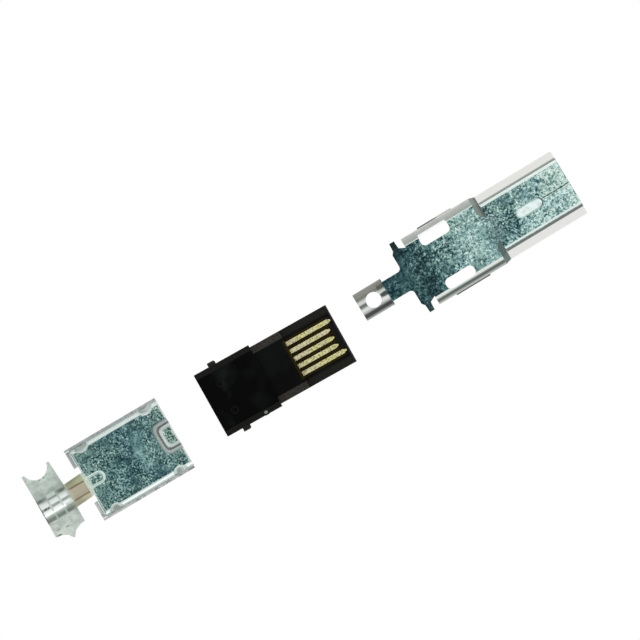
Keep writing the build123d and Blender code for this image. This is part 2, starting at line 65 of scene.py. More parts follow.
# Grain of the plating: how light it is along each shell, from 0 to 1, and how strong. That
# lightness is a painted reflection. The rear shell has one strength, and another in the light
# streak across its tray
FRONT_SHADE = [
    (-11.6, 0.16), (-9.0, 0.14), (-7.9, 0.15), (-6.5, 0.29), (-4.5, 0.48), (-2.5, 0.58), (-0.9, 0.59),
    (-0.2, 0.44), (0.5, 0.37), (2.3, 0.38), (3.2, 0.57), (6.0, 0.66), (8.2, 0.79),
]
FRONT_STRENGTH = [
    (-11.6, 0.85), (-9.4, 0.72), (-7.6, 1.06), (-4.2, 1.04), (-3.2, 0.80), (-0.6, 0.76), (0.2, 1.0),
]
REAR_SHADE = [(-9.9, 0.52), (-7.0, 0.33), (-4.5, 0.29), (-2.0, 0.38), (0.0, 0.42)]
REAR_STRENGTH = 0.9
STREAK_STRENGTH = 0.6
GRAIN_COLOURS = [
    (0.0, (24, 46, 52)), (0.3, (72, 104, 108)), (0.65, (150, 184, 180)), (1.0, (228, 246, 240)),
]
COOL_TINT = (0.92, 0.98, 1.0, 1.0)
WARM_TINT = (1.0, 1.0, 0.96, 1.0)
GREEN_TINT = (1.06, 0.98, 0.90, 1.0)

# Relief of the surfaces, as (strength, height in metres)
METAL_RELIEF = (0.25, 0.02 * MM)
PLASTIC_RELIEF = (0.2, 0.01 * MM)

# Colours of the front shell, as (place on a scale from 0 to 1, display colour). All of them are
# painted light and shade: highlights, shade and reflections on its folds, slopes, shoulder and tab
FRONT_FOLD_SHADING = [
    (0.60, (255, 255, 255)), (0.70, (120, 124, 124)), (0.80, (120, 124, 124)), (0.88, (220, 229, 224)),
]
BOX_SLOPE_REFLECTION = [
    (0.0, (162, 169, 164)), (0.35, (178, 183, 178)), (0.65, (202, 204, 199)), (1.0, (216, 218, 214)),
]
BOX_REFLECTION_STREAKS = [
    (0.0, (184, 188, 183)), (0.26, (178, 184, 178)), (0.36, (158, 164, 158)), (0.47, (98, 104, 99)),
    (0.64, (94, 101, 96)), (0.74, (140, 148, 142)), (0.84, (222, 228, 223)), (1.0, (248, 250, 247)),
]
SHOULDER_SLOPE_SHADE = [
    (0.0, (138, 148, 142)), (0.50, (133, 141, 136)), (0.78, (108, 114, 111)), (1.0, (84, 90, 88)),
]
TAB_ARCH_REFLECTIONS = [
    (0.0, (190, 192, 188)), (0.05, (150, 152, 150)), (0.09, (78, 80, 80)), (0.18, (74, 76, 76)),
    (0.25, (190, 192, 189)), (0.32, (232, 236, 232)), (0.38, (226, 230, 226)), (0.45, (128, 134, 131)),
    (0.52, (104, 110, 107)), (0.59, (214, 217, 213)), (0.65, (196, 198, 194)), (0.72, (96, 97, 93)),
    (0.79, (92, 93, 88)), (0.86, (128, 128, 122)), (1.0, (160, 162, 158)),
]

# How far the middle of the nose is across from the point at the shoulder
NOSE_MIDDLE = 0.035

# Colours of the rear shell, in the same form: painted highlights and shade on the tray's folds and
# walls, round the tongue and along the barrel's folds, and the tan neck with painted lines along its ribs
TRAY_WALL_SHADING = [
    (0.135, (230, 242, 238)), (0.175, (202, 212, 207)), (0.80, (196, 200, 198)), (0.88, (196, 198, 198)),
    (1.0, (196, 196, 197)),
]
TONGUE_LIGHT_AND_SHADE = [
    (0.0, (176, 192, 186)), (0.08, (230, 239, 235)), (0.23, (228, 236, 232)), (0.33, (100, 103, 104)),
    (0.44, (98, 99, 100)), (0.54, (184, 190, 188)), (0.66, (176, 183, 180)), (0.80, (128, 138, 136)),
    (1.0, (124, 138, 134)),
]
NECK_TAN_AND_SHADE_LINES = [
    (0.0, (204, 198, 172)), (0.15, (198, 192, 164)), (0.20, (124, 110, 90)), (0.25, (184, 176, 155)),
    (0.62, (188, 180, 159)), (0.66, (118, 108, 86)), (0.72, (196, 196, 162)), (1.0, (178, 180, 144)),
]
BARREL_FOLD_SHADING = [
    (0.09, (206, 214, 208)), (0.15, (134, 142, 136)), (0.20, (130, 138, 132)), (0.24, (166, 175, 168)),
    (0.29, (198, 206, 200)), (0.36, (224, 231, 225)), (0.41, (242, 248, 244)), (0.46, (240, 246, 242)),
    (0.505, (158, 167, 163)), (0.55, (158, 167, 163)), (0.59, (240, 246, 242)), (0.68, (240, 246, 242)),
    (0.735, (210, 218, 212)), (0.785, (168, 178, 171)), (0.84, (164, 174, 168)), (0.90, (206, 215, 209)),
]

# Gussets: where each pair has its middle, how far the centres of their round feet are from
# there, along and across the tray, and how much the feet are drawn out across it
GUSSETS_MIDDLE = -4.85
GUSSETS_ALONG = 3.5
GUSSETS_ACROSS = 4.284
GUSSET_STRETCH = 1.414

# Centre of the rib's round end and of the rings round the tongue, along the tray, and how
# square those rings are
RIB_END = -8.3
TONGUE_MIDDLE = -0.22
TONGUE_SQUARENESS = 5.0

# Dark marks on the barrel, as (place, half sizes, strength)
WING_MARKS = [
    ((-14.25, -2.86), (0.25, 0.10), 0.8),
    ((-13.15, -2.48), (0.20, 0.09), 0.45),
    ((-14.10, -2.35), (0.22, 0.09), 0.3),
    ((-13.25, 2.60), (0.14, 0.08), 0.45),
    ((-12.80, 2.64), (0.10, 0.09), 0.45),
]
FOLD_MARKS = [((-14.28, 0.80), (0.26, 0.13), 0.55), ((-11.98, 0.76), (0.32, 0.13), 0.55)]
MOUTH_SPECKS = [((-14.2, -0.1), (0.16, 0.08)), ((-13.9, -0.13), (0.08, 0.06))]
SERRATIONS = [(-13.66, -13.56), (-12.60, -12.50)]

# Marks on the insulator
ROUND_MARKS = [(-7.22, 1.4), (-7.22, -1.4)]
GATE_MARK = (-4.77, -3.05)


def rgb(red, green, blue):
    """A colour given as 0 to 255 display values, as the linear colour that a shader takes."""
    def linear(value):
        value /= 255
        return value / 12.92 if value <= 0.04045 else ((value + 0.055) / 1.055) ** 2.4
    return (linear(red), linear(green), linear(blue), 1.0)


class Nodes:
    """Adds nodes to a node tree and joins them. A mask is a number from 0 to 1."""

    def __init__(self, tree):
        self.tree = tree
        tree.nodes.clear()

    def node(self, kind, inputs=None, **settings):
        made = self.tree.nodes.new(kind)
        for key, value in settings.items():
            setattr(made, key, value)
        for key, value in (inputs or {}).items():
            self.put(made.inputs[key], value)
        return made

    def put(self, socket, value):
        """Links an output to a socket, or gives the socket a value of its own."""
        if isinstance(value, bpy.types.NodeSocket):
            self.tree.links.new(value, socket)
        else:
            socket.default_value = value

    def math(self, operation, a, b=0.0, clamp=False):
        return self.node("ShaderNodeMath", {0: a, 1: b}, operation=operation, use_clamp=clamp).outputs[0]

    def times(self, first, *others):
        for other in others:
            first = self.math("MULTIPLY", first, other)
        return first

    def largest(self, first, *others):
        for other in others:
            first = self.math("MAXIMUM", first, other)
        return first

    def inverse(self, mask):
        return self.math("SUBTRACT", 1.0, mask)

    def cut(self, mask, hole):
        return self.math("SUBTRACT", mask, hole, clamp=True)

    def mix(self, factor, a, b, blend="MIX"):
        """One colour where the factor is 0, and another where it is 1."""
        made = self.node("ShaderNodeMix", {0: factor, 6: a, 7: b}, data_type="RGBA", blend_type=blend)
        return made.outputs[2]

    def between(self, value, low, high, to_low=0.0, to_high=1.0, smooth=True):
        """Goes from one number to another as the value goes from low to high."""
        limits = {0: value, 1: low, 2: high, 3: to_low, 4: to_high}
        kind = "SMOOTHSTEP" if smooth else "LINEAR"
        return self.node("ShaderNodeMapRange", limits, interpolation_type=kind).outputs[0]

    def rise(self, value, step):
        """0 before a step, given as (start, end), and 1 after it."""
        return self.between(value, *step)

    def fall(self, value, step):
        """1 before a step, given as (start, end), and 0 after it."""
        return self.between(value, *step, 1.0, 0.0)

    def scale(self, value, low, high):
        """A straight scale from 0 at low to 1 at high."""
        return self.between(value, low, high, smooth=False)

    def band(self, value, low, high, soft):
        """1 between two values, falling to 0 over a soft margin outside them."""
        return self.times(self.rise(value, (low - soft, low)), self.fall(value, (high, high + soft)))

    def area(self, x, y, along, across):
        """1 within a rectangle, given as (low, high, soft margin) along and across the piece."""
        return self.times(self.band(x, *along), self.band(y, *across))

    def mark(self, x, y, place, size):
        """1 within an ellipse with the given half sizes, falling to 0 just outside it."""
        along = self.math("DIVIDE", self.math("SUBTRACT", x, place[0]), size[0])
        across = self.math("DIVIDE", self.math("SUBTRACT", y, place[1]), size[1])
        return self.fall(self.sum_of_powers(along, across, 2.0), (0.7, 1.6))

    def sum_of_powers(self, a, b, power):
        return self.math("ADD", self.math("POWER", a, power), self.math("POWER", b, power))

    def profile(self, value, stops):
        """A curve through (value, height) stops, with smooth steps between them."""
        total = stops[0][1]
        for (x0, y0), (x1, y1) in zip(stops, stops[1:]):
            total = self.math("ADD", self.between(value, x0, x1, 0.0, y1 - y0), total)
        return total

    def ramp(self, value, stops):
        """A colour ramp with its own stops: (position, display colour)."""
        made = self.node("ShaderNodeValToRGB", {0: value})
        elements = made.color_ramp.elements
        for element, (position, colour) in zip(elements, (stops[0], stops[-1])):
            element.position = position
            element.color = rgb(*colour)
        for position, colour in stops[1:-1]:
            elements.new(position).color = rgb(*colour)
        return made.outputs[0]


class Surface(Nodes):
    """The material of a piece, with the place and the direction of its surface."""

    def __init__(self, name):
        self.material = bpy.data.materials.new(name)
        self.material.use_nodes = True
        super().__init__(self.material.node_tree)
        self.shader = self.node("ShaderNodeBsdfPrincipled")
        self.node("ShaderNodeOutputMaterial", {"Surface": self.shader.outputs[0]})
        self.coordinates = self.node("ShaderNodeTexCoord").outputs
        metres = self.coordinates["Object"]
        millimetres = self.node("ShaderNodeVectorMath", {0: metres, "Scale": 1 / MM}, operation="SCALE")
        self.place = millimetres.outputs[0]

    @cached_property
    def normal(self):
        """The three parts of the surface's direction, in the object's own axes."""
        return self.node("ShaderNodeSeparateXYZ", {"Vector": self.coordinates["Normal"]}).outputs

    def measured_from(self, origin, turn):
        """Coordinates along, across and up from a point of the row, on a piece turned by some degrees."""
        inputs = {"Vector": self.place, "Location": origin, "Rotation": (0, 0, math.radians(turn))}
        turned = self.node("ShaderNodeMapping", inputs, vector_type="TEXTURE")
        return self.node("ShaderNodeSeparateXYZ", {"Vector": turned.outputs[0]}).outputs

    def noise(self, scale, seed, detail=3.0, roughness=0.6):
        """A pattern of specks, with about as many of the largest to a millimetre as the scale says."""
        inputs = {"Vector": self.place, "W": seed, "Scale": scale, "Detail": detail, "Roughness": roughness}
        return self.node("ShaderNodeTexNoise", inputs, noise_dimensions="4D").outputs["Fac"]

    def finish(self, colour, metallic, fine, roughness, relief):
        """Sets the shader, with a fine pattern in its gloss and its relief."""
        strength, height = relief
        bump = self.node("ShaderNodeBump", {"Strength": strength, "Distance": height, "Height": fine})
        for name, value in [
            ("Base Color", colour), ("Metallic", metallic), ("Normal", bump.outputs[0]),
            ("Roughness", self.between(fine, *GLOSS_SPREAD, *roughness)),
        ]:
            self.put(self.shader.inputs[name], value)
        return self.material


def plating(metal, shade, seed, strength):
    """Crystals of the plating: dark slate to pale mint specks, lighter where shade is higher."""
    fine = metal.noise(5.6, seed, detail=2.0, roughness=0.7)
    coarse = metal.noise(0.9, seed + 4.0)
    calm = metal.noise(0.8, seed + 20.0, detail=2.0, roughness=0.5)
    calm = metal.between(calm, 0.45, 0.65, 1.0, 0.45)
    contrast = metal.times(metal.between(shade, 0.1, 0.6, 2.5, 3.6, smooth=False), calm, strength)
    level = metal.math("ADD", metal.times(metal.math("SUBTRACT", fine, 0.5), contrast), shade)
    level = metal.math("ADD", metal.times(metal.math("SUBTRACT", coarse, 0.5), 0.8), level)
    hue = metal.noise(0.55, seed + 9.0, detail=2.0, roughness=0.5)
    tint = metal.mix(metal.rise(hue, (0.4, 0.6)), COOL_TINT, WARM_TINT)
    return metal.mix(1.0, metal.ramp(level, GRAIN_COLOURS), tint, "MULTIPLY"), fine


def front_plating(metal, x, y):
    """Plating of the front shell's flats: a painted reflection that grows lighter to the tip, with lighter
    and darker painted patches, and dark ears.
    """
    shade = metal.profile(x, FRONT_SHADE)
    # Lighter and darker patches of the painted reflection
    beside_dimple = metal.times(metal.band(x, 2.6, 5.6, 0.4), metal.fall(y, (-1.0, -0.7)))
    plate_root = metal.area(x, y, (-10.0, -8.2, 0.8), (-1.0, 0.6, 0.9))
    by_low_ear = metal.area(x, y, (-8.0, -7.2, 0.7), (-2.3, -1.1, 0.8))
    for patch, change in [(beside_dimple, 0.12), (plate_root, 0.08), (by_low_ear, -0.15)]:
        shade = metal.math("ADD", metal.times(patch, change), shade)
    grain, fine = plating(metal, shade, 1.0, metal.profile(x, FRONT_STRENGTH))

    to_tips = metal.rise(metal.math("ABSOLUTE", y), (2.4, 3.4))
    to_tips = metal.times(to_tips, metal.between(y, *MIDLINE, 0.45, 0.85))
    ears = metal.times(metal.band(x, -9.5, -8.5, 0.15), to_tips)
    return metal.mix(ears, grain, rgb(26, 30, 28)), fine


def front_slope_shading(metal, x, y, grain):
    """Painted highlights and shade on the folds beside the flats, and painted reflections on the slopes
    beyond them: darker on the box than on the nose.
    """
    level = metal.normal[2]
    # Colour by facing: painted highlight and shade on the folds
    folds = metal.ramp(level, FRONT_FOLD_SHADING)
    upper_box = metal.times(metal.fall(x, BOX_END), metal.rise(y, MIDLINE))
    folds = metal.mix(upper_box, folds, rgb(166, 173, 169))
    colour = metal.mix(metal.rise(level, (0.955, 0.985)), folds, grain)

    # Painted reflection on the slopes, mottled on the box and near white on the nose
    box_slope = metal.ramp(metal.scale(y, 2.9, 3.6), BOX_SLOPE_REFLECTION)
    clean = metal.rise(metal.noise(1.4, seed=15.0), MOTTLE)
    box_slope = metal.mix(clean, metal.mix(0.35, box_slope, rgb(140, 146, 142)), box_slope)
    slope = metal.mix(metal.rise(x, PAST_POINT), box_slope, rgb(234, 234, 230))
    return metal.mix(metal.fall(level, (0.60, 0.70)), colour, slope)


def nose_fold_highlights(metal, x, y, z, colour):
    """Along each side of the nose, a painted highlight as a white line, and painted shade as a grey line
    outside it.
    """
    from_middle = metal.math("ABSOLUTE", metal.math("SUBTRACT", y, NOSE_MIDDLE))
    nose = metal.times(metal.rise(x, (0.0, 0.1)), metal.rise(z, (2.6, 2.7)))
    # Painted highlight along each fold, and painted shade just outside it
    fold_highlight = metal.times(nose, metal.band(from_middle, 2.22, 2.32, 0.09))
    colour = metal.mix(fold_highlight, colour, rgb(232, 243, 238))
    fold_shade_line = metal.times(nose, metal.band(from_middle, 2.46, 2.60, 0.12))
    grey = metal.mix(metal.rise(y, MIDLINE), rgb(118, 125, 121), rgb(148, 156, 151))
    return metal.mix(fold_shade_line, colour, grey)


def front_walls(metal, x, y, z, fine, colour):
    """Painted shading: upright faces by their facing, painted reflection streaks on the box's lower slope,
    a painted highlight on the upper window's edge, and painted shade along the beads.
    """
    across, level = metal.normal[1], metal.normal[2]
    # Upright faces: a mottled grey painted reflection
    upright = metal.mix(fine, rgb(150, 156, 154), rgb(220, 224, 222))
    colour = metal.mix(metal.fall(level, LEAVING_UPRIGHT), colour, upright)

    # Painted reflection streaks on the box's lower slope
    low_slope = metal.times(metal.rise(level, LEAVING_UPRIGHT), metal.fall(level, (0.97, 0.985)))
    low_slope = metal.times(low_slope, metal.fall(across, (-0.3, -0.2)), metal.fall(x, BOX_END))
    colour = metal.mix(low_slope, colour, metal.ramp(metal.scale(z, 2.3, 3.3), BOX_REFLECTION_STREAKS))

    # Painted highlight on the upper window's edge
    past_upright = metal.rise(level, PAST_UPRIGHT)
    window_edge_highlight = metal.area(x, y, (-6.4, -3.6, 0.15), (2.6, 3.04, 0.06))
    colour = metal.mix(metal.times(window_edge_highlight, past_upright), colour, rgb(252, 254, 252))

    # Painted shade along the beads, paler towards the front on the upper side
    bead = metal.times(metal.fall(z, (2.1, 2.2)), metal.band(x, -6.3, -2.3, 0.05), past_upright)
    pale_end = metal.times(metal.rise(y, MIDLINE), metal.rise(x, (-4.6, -3.8)))
    return metal.mix(bead, colour, metal.mix(pale_end, rgb(84, 80, 78), rgb(176, 176, 172)))


def shoulder_slopes(metal, x, y, colour):
    """Painted shade on the two slopes of the shoulder, beside the dart."""
    # Painted shade on the two slopes
    slopes = metal.times(metal.rise(metal.normal[0], (0.24, 0.34)), metal.band(x, -0.62, 0.02, 0.05))
    upper = metal.ramp(metal.scale(x, -0.6, 0.0), SHOULDER_SLOPE_SHADE)
    return metal.mix(slopes, colour, metal.mix(metal.rise(y, (-0.5, 0.5)), rgb(98, 114, 111), upper))


def dimple(metal, x, y, z, colour):
    """A mottled painted highlight on the dimple's floor, painted highlight and shade on its ends by their
    facing, and the crease before and after it.
    """
    around = metal.area(x, y, (2.4, 5.5, 0.05), (-0.8, 0.55, 0.05))
    floor_mask = metal.times(around, metal.band(z, 2.65, 2.80, 0.05))
    # Painted highlight on the dimple's floor, mottled
    highlight_mottle = metal.rise(metal.noise(2.4, seed=27.0), (0.35, 0.6))
    colour = metal.mix(floor_mask, colour, metal.mix(highlight_mottle, rgb(208, 222, 222), rgb(238, 252, 248)))
    # Painted highlight and shade on the dimple's ends, by their facing
    steep = metal.times(around, metal.fall(metal.normal[2], (0.80, 0.90)))
    ends = metal.mix(metal.rise(metal.normal[0], (-0.5, 0.3)), rgb(110, 134, 132), rgb(214, 232, 226))
    colour = metal.mix(steep, colour, ends)
    crease = metal.times(metal.band(y, -0.05, 0.05, 0.03), metal.band(z, 2.88, 2.93, 0.01))
    return metal.mix(crease, colour, rgb(30, 50, 52))


def tail_tab(metal, x, y, colour):
    """Tail tab: smooth, with painted reflections in the light and dark lines of an arch, and painted shadow
    in the hollow at its root.
    """
    arch = metal.ramp(metal.scale(y, -1.4, 1.4), TAB_ARCH_REFLECTIONS)
    # Painted shadow in the hollow at the tab's root
    hollow = metal.times(metal.mark(x, y, (-11.85, -0.02), (0.45, 0.22)), 0.75)
    return metal.mix(metal.fall(x, (-11.75, -11.6)), colour, metal.mix(hollow, arch, rgb(52, 66, 64)))


def front_material():
    """Front shell: grainy flats whose painted reflection grows lighter to the tip, plain slopes and folds
    in painted highlights and shade, a painted highlight in the dimple, and a smooth tab with painted
    reflections.
    """
    metal = Surface("front_metal")
    x, y, z = metal.measured_from(SHOULDER, FRONT_TURN)
    grain, fine = front_plating(metal, x, y)
    colour = front_slope_shading(metal, x, y, grain)
    colour = nose_fold_highlights(metal, x, y, z, colour)
    colour = front_walls(metal, x, y, z, fine, colour)
    colour = shoulder_slopes(metal, x, y, colour)
    colour = dimple(metal, x, y, z, colour)
    colour = tail_tab(metal, x, y, colour)
    return metal.finish(colour, 1.0, fine, (0.24, 0.36), METAL_RELIEF)


def tray_plating(metal, x, y):
    """Plating of the tray's floor, with a painted reflection that changes in lightness along it: a light
    streak across it, and greener towards both ends.
    """
    streak = metal.area(x, y, (-4.1, -3.4, 0.5), (-1.4, 1.2, 0.9))
    shade = metal.math("ADD", metal.profile(x, REAR_SHADE), metal.times(streak, 0.12))
    strength = metal.between(streak, 0.0, 1.0, REAR_STRENGTH, STREAK_STRENGTH, smooth=False)
    grain, fine = plating(metal, shade, 7.0, strength)
    greener = metal.times(metal.largest(metal.fall(x, (-9.3, -5.5)), metal.rise(x, (-1.4, -1.2))), 0.8)
    return metal.mix(greener, grain, metal.mix(1.0, grain, GREEN_TINT, "MULTIPLY")), fine


def tray_walls(metal, x, y, z, grain):
    """Folds white next to the floor as a painted highlight, grey speckled walls in painted reflection with
    dark spots along their tops, painted shade on the upper wall, and painted highlights along the floor's
    edges.
    """
    level = metal.normal[2]
    # Painted highlight on the folds next to the floor, grey painted reflection on the walls
    plain = metal.ramp(metal.scale(z, 0.0, 2.5), TRAY_WALL_SHADING)
    wall = metal.rise(z, ABOVE_FOLDS)
    clean = metal.between(metal.noise(3.0, seed=13.0, roughness=0.7), 0.3, 0.5, 0.72, 1.0)
    plain = metal.mix(wall, plain, metal.mix(clean, rgb(120, 118, 118), plain))
    top_edge = metal.times(metal.rise(z, (1.2, 1.4)), metal.rise(level, (0.80, 0.95)))
    # Dark spots along the walls' tops
    top_spots = metal.between(metal.noise(1.7, seed=23.0, roughness=0.7), 0.36, 0.52, 0.65, 0.0)
    plain = metal.mix(metal.times(top_edge, top_spots), plain, rgb(84, 84, 82))
    # Painted shade on the upper wall
    upper_wall = metal.times(wall, metal.rise(y, MIDLINE))
    plain = metal.mix(metal.times(upper_wall, 0.5), plain, rgb(150, 156, 156))

    # The floor's edges keep the painted fold highlight instead of grain
    side_edges = metal.largest(metal.fall(y, (-3.13, -3.05)), metal.rise(y, (3.02, 3.14)))
    edges = metal.largest(side_edges, metal.times(metal.fall(x, (-9.42, -9.32)), 0.7))
    edges = metal.times(edges, metal.rise(x, (-9.5, -9.4)))
    flat = metal.times(metal.rise(level, (0.983, 0.997)), metal.fall(z, (2.0, 2.2)), metal.inverse(edges))
    colour = metal.mix(flat, plain, grain)

    # Painted highlight along the floor's open end
    open_end = metal.times(metal.rise(x, (-0.19, -0.10)), metal.fall(z, ABOVE_FLOOR), 0.85)
    colour = metal.mix(open_end, colour, rgb(222, 228, 225))
    # Painted highlight on the fold at the neck's root
    neck_root = metal.times(metal.mark(x, y, (-9.66, 0.0), (0.45, 1.05)), 0.8)
    return metal.mix(neck_root, colour, rgb(206, 218, 202))


def gussets(metal, x, y, z, colour):
    """Painted highlights: pale upper gussets, and a bright line round the foot of each. Also gives that
    line's mask.
    """
    from_middle = metal.math("ABSOLUTE", metal.math("SUBTRACT", x, GUSSETS_MIDDLE))
    along = metal.math("SUBTRACT", from_middle, GUSSETS_ALONG)
    out = metal.math("SUBTRACT", metal.math("ABSOLUTE", y), GUSSETS_ACROSS)
    reach = metal.sum_of_powers(along, metal.math("DIVIDE", out, GUSSET_STRETCH), 2.0)
    upper = metal.times(metal.rise(y, MIDLINE), metal.fall(z, ABOVE_GUSSETS))
    # Upper gussets lightened with a painted highlight
    within = metal.times(metal.fall(reach, (0.82, 0.92)), upper)
    colour = metal.mix(within, colour, rgb(226, 236, 231))

    # Painted highlight round the foot of each gusset
    high_foot = metal.times(metal.band(reach, 0.82, 1.12, 0.04), metal.fall(y, (3.38, 3.50)), upper)
    low_foot = metal.times(metal.fall(reach, (0.98, 1.04)), metal.rise(y, (-3.50, -3.38)))
    low_foot = metal.cut(low_foot, metal.mark(along, y, (0.0, -3.38), (0.32, 0.34)))
    low_foot = metal.times(low_foot, metal.fall(z, (1.1, 1.3)), metal.fall(y, MIDLINE))
    foot = metal.math("ADD", high_foot, low_foot)
    return metal.mix(foot, colour, rgb(246, 255, 251)), foot


def rib_and_tongue(metal, x, y, z, colour):
    """Painted highlight on the rib's edge, and rings of painted highlight and shade round the tongue:
    white, dark, grey.
    """
    # Painted highlight round the rib's edge
    past_end = metal.largest(metal.math("SUBTRACT", x, RIB_END), 0.0)
    rib = metal.band(metal.sum_of_powers(past_end, y, 2.0), 0.16, 0.36, 0.03)
    rib = metal.times(rib, metal.rise(x, (-9.6, -9.5)), metal.fall(z, ABOVE_FLOOR))
    colour = metal.mix(rib, colour, rgb(228, 250, 242))

    # Rings of painted highlight and shade round the tongue
    along = metal.math("ABSOLUTE", metal.math("SUBTRACT", x, TONGUE_MIDDLE))
    ring = metal.sum_of_powers(along, metal.math("ABSOLUTE", y), TONGUE_SQUARENESS)
    ring = metal.math("POWER", ring, 1 / TONGUE_SQUARENESS)
    rings = metal.times(metal.band(ring, 0.84, 1.56, 0.12), metal.rise(x, (-2.4, -2.3)))
    rings = metal.times(rings, metal.fall(z, ABOVE_FLOOR), 0.85)
    return metal.mix(rings, colour, metal.ramp(metal.scale(ring, 0.8, 1.8), TONGUE_LIGHT_AND_SHADE))


def neck(metal, x, y, colour):
    """Tan neck with painted light and shade lines along its ribs, paler towards the barrel."""
    # Tan, with painted light and shade lines along the ribs
    lines = metal.ramp(metal.scale(y, -1.25, 1.25), NECK_TAN_AND_SHADE_LINES)
    near_barrel = metal.times(metal.fall(x, (-11.5, -11.1)), 0.5)
    lines = metal.mix(near_barrel, lines, rgb(200, 208, 192))
    return metal.mix(metal.area(x, y, (-11.5, -9.75, 0.05), (-1.5, 1.5, 0.1)), colour, lines)


def with_dark_marks(metal, x, y, colour, marks, mark_colour):
    """A colour with dark marks on it."""
    for place, size, strength in marks:
        colour = metal.mix(metal.times(metal.mark(x, y, place, size), strength), colour, mark_colour)
    return colour


def barrel_wings(metal, x, y):
    """Mottled wings, pale in a painted reflection, with a few dark marks, a little darker along their rims.
    """
    mottle = metal.rise(metal.noise(1.6, seed=11.0), MOTTLE)
    # Painted reflection: pale, lighter on the lower wing than on the upper
    upper = metal.mix(mottle, rgb(196, 206, 200), rgb(226, 238, 230))
    lower = metal.mix(mottle, rgb(206, 213, 207), rgb(236, 242, 236))
    wings = metal.mix(metal.rise(y, MIDLINE), lower, upper)
    wings = with_dark_marks(metal, x, y, wings, WING_MARKS, rgb(84, 92, 86))
    rims = metal.largest(metal.fall(x, (-14.6, -14.1)), metal.rise(x, (-12.1, -11.6)))
    return metal.mix(metal.times(rims, 0.3), wings, rgb(150, 156, 152))


def barrel_base(metal, x, y, across):
    """Painted highlights and shade in light and dark lines along the barrel's folds, broken where the
    serrations cross them.
    """
    base = metal.ramp(across, BARREL_FOLD_SHADING)
    middle = metal.band(x, -13.55, -12.62, 0.08)
    # Painted highlight and a grey line along the middle of the upper fold
    base = metal.mix(metal.times(middle, metal.rise(y, (0.62, 0.76))), base, rgb(244, 255, 248))
    base = metal.mix(metal.times(middle, metal.band(y, 0.54, 0.62, 0.06)), base, rgb(166, 178, 170))
    # Painted shade on part of the lower fold
    shaded = metal.times(metal.rise(x, (-12.45, -12.2)), metal.band(y, -0.90, -0.60, 0.12), 0.95)
    base = metal.mix(shaded, base, rgb(170, 178, 172))
    base = with_dark_marks(metal, x, y, base, FOLD_MARKS, rgb(92, 104, 98))
    first, second = [metal.inverse(metal.band(x, *serration, 0.08)) for serration in SERRATIONS]
    return metal.mix(metal.times(first, second), rgb(206, 214, 210), base)


def barrel(metal, x, y, colour):
    """Crimp barrel: wings on both sides of its base, with painted shade along the edge at its mouth, and
    dark specks there.
    """
    across = metal.scale(y, -1.8, 1.4)
    inside = metal.band(across, 0.13, 0.87, 0.04)
    whole = metal.mix(inside, barrel_wings(metal, x, y), barrel_base(metal, x, y, across))
    near_neck = metal.times(metal.rise(x, (-11.9, -11.55)), inside, 0.6)
    whole = metal.mix(near_neck, whole, rgb(178, 187, 174))
    # Painted shade along the sheet's edge at the mouth, and dark specks
    mouth_edge_shade = metal.times(metal.fall(x, (-14.62, -14.52)), inside)
    specks = [metal.mark(x, y, place, size) for place, size in MOUTH_SPECKS]
    whole = metal.mix(metal.largest(mouth_edge_shade, *specks), whole, rgb(84, 90, 86))
    return metal.mix(metal.fall(x, (-11.55, -11.5)), colour, whole)


def rear_material():
    """Rear shell: grainy floor in a painted reflection, painted highlights on the folds and formed edges,
    tan neck, smooth pale barrel in painted reflections.
    """
    metal = Surface("rear_metal")
    x, y, z = metal.measured_from(TRAY_FRONT, REAR_TURN)
    grain, fine = tray_plating(metal, x, y)
    colour = tray_walls(metal, x, y, z, grain)
    colour, foot = gussets(metal, x, y, z, colour)
    colour = rib_and_tongue(metal, x, y, z, colour)
    colour = neck(metal, x, y, colour)
    colour = barrel(metal, x, y, colour)

    # Formed edges scatter light, most of all next to the floor
    satin = metal.times(metal.fall(metal.normal[2], (0.80, 0.97)), metal.between(z, 0.34, 0.44, 0.85, 0.5))
    satin = metal.largest(satin, metal.times(foot, 0.95))
    return metal.finish(colour, metal.inverse(satin), fine, (0.28, 0.36), METAL_RELIEF)


def shelf(plastic, x, y, fine, colour):
    """Shelf: olive between the contacts, nearly black beyond them, dark grey along its edges."""
    beyond = plastic.times(plastic.rise(x, (4.2, 4.5)), plastic.band(y, -2.0, 2.0, 0.1))
    colour = plastic.mix(beyond, colour, plastic.mix(fine, rgb(14, 12, 18), rgb(30, 29, 28)))
    between_contacts = plastic.area(x, y, (-0.1, 4.2, 0.3), (-2.0, 2.0, 0.1))
    colour = plastic.mix(between_contacts, colour, rgb(40, 31, 6))
    outward = plastic.rise(plastic.math("ABSOLUTE", y), (2.1, 2.5))
    edges = plastic.times(plastic.rise(x, PAST_POINT), outward)
    return plastic.mix(edges, colour, plastic.mix(fine, rgb(16, 16, 14), rgb(44, 44, 40)))


